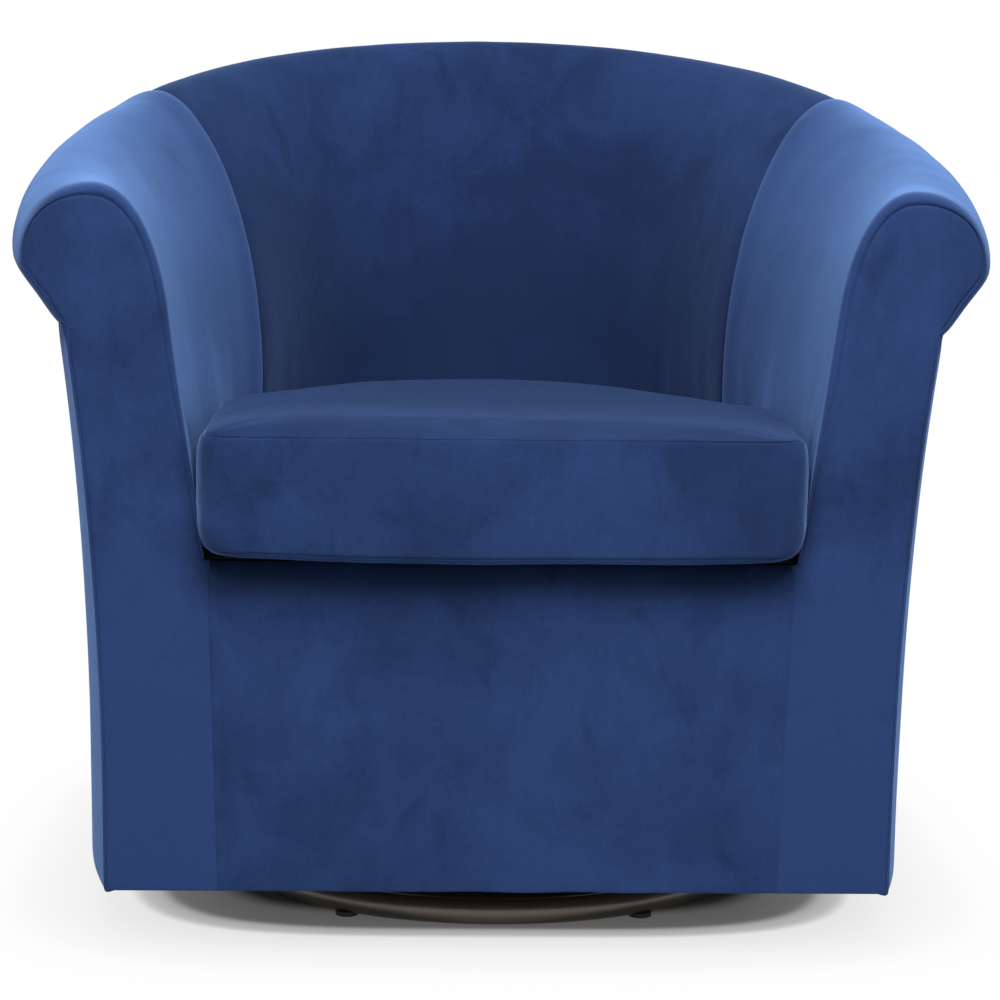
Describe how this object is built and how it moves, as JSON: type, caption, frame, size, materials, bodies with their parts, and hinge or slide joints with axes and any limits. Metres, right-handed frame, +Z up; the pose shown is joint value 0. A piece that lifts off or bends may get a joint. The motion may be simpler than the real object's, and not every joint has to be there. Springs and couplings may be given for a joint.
{
  "type": "swivel club chair",
  "caption": "Upholstered round tub chair with rolled arms, a higher curved back, a loose boxed seat cushion and a low round ring base on which it swivels.",
  "frame": {"origin": "on the floor, under the swivel axis, which is also the middle of the chair's box in X and Y", "axes": "+Z up along the swivel axis, -Y towards the sitter's knees (the chair's front), +X towards the left hand of a sitter"},
  "size_m": [0.892, 0.7988, 0.8322],
  "materials": {
    "velvet": "cut pile velvet",
    "foam": "open-cell foam with wadding",
    "felt": "needled fibre pad",
    "webbing": "woven strap",
    "lining_cloth": "plain woven lining",
    "hardwood": "planed, unfinished",
    "plywood": "sawn plywood",
    "painted_steel": "dark bronze powder coat, satin",
    "zinc_steel": "zinc plated",
    "spring_steel": "oiled wire",
    "black_plastic": "moulded, fine grain"
  },
  "bodies": {
    "base": {"base_ring": "painted_steel", "base_cross": "painted_steel", "swivel_lower_plate": "zinc_steel", "kingpin": "zinc_steel", "kingpin_nut": "zinc_steel", "glide_1": "black_plastic", "glide_2": "black_plastic", "glide_3": "black_plastic", "glide_4": "black_plastic", "glide_5": "black_plastic", "glide_6": "black_plastic"},
    "ball_cage": {"ball_cage": "zinc_steel"},
    "seat": {"inside_arm_cover_left": "velvet", "inside_arm_cover_right": "velvet", "inside_back_cover": "velvet", "outside_arm_cover_left": "velvet", "outside_arm_cover_right": "velvet", "outside_back_cover": "velvet", "arm_facing_left": "velvet", "arm_facing_right": "velvet", "front_panel_cover": "velvet", "arm_foam_left": "foam", "arm_foam_right": "foam", "inside_back_foam": "foam", "deck_pad": "felt", "back_web_left": "webbing", "back_web_middle": "webbing", "back_web_right": "webbing", "deck_cloth": "lining_cloth", "dust_cover": "lining_cloth", "seat_rail_left": "hardwood", "seat_rail_right": "hardwood", "seat_rail_back": "hardwood", "arm_top_rail_left": "hardwood", "arm_top_rail_right": "hardwood", "swivel_slat_left": "hardwood", "swivel_slat_right": "hardwood", "foot_board": "plywood", "front_rail": "plywood", "arm_front_board_left": "plywood", "arm_front_board_right": "plywood", "arm_rib_left": "plywood", "arm_rib_right": "plywood", "back_rib_left": "plywood", "back_rib_right": "plywood", "back_top_rail": "plywood", "swivel_upper_plate": "zinc_steel", "plate_bolt_1": "zinc_steel", "plate_bolt_2": "zinc_steel", "plate_bolt_3": "zinc_steel", "plate_bolt_4": "zinc_steel", "clip_bar_front": "spring_steel", "clip_bar_back": "spring_steel", "seat_spring_1": "spring_steel", "seat_spring_2": "spring_steel", "seat_spring_3": "spring_steel", "seat_spring_4": "spring_steel"},
    "cushion": {"cushion_cover": "velvet", "cushion_core": "foam"}
  },
  "joints": [
    {"name": "seat_swivel", "type": "hinge", "parent": "base", "child": "seat", "pos_m": [0, 0, 0.066], "axis": [0, 0, 1], "continuous": true},
    {"name": "cage_roll", "type": "hinge", "parent": "base", "child": "ball_cage", "pos_m": [0, 0, 0.0453], "axis": [0, 0, 1], "continuous": true},
    {"name": "cushion_lift", "type": "slide", "parent": "seat", "child": "cushion", "axis": [0, 0, 1], "range_m": [0, 0.25]}
  ],
  "couplings": [
    {"joint": "cage_roll", "follows": "seat_swivel", "ratio": 0.5}
  ]
}
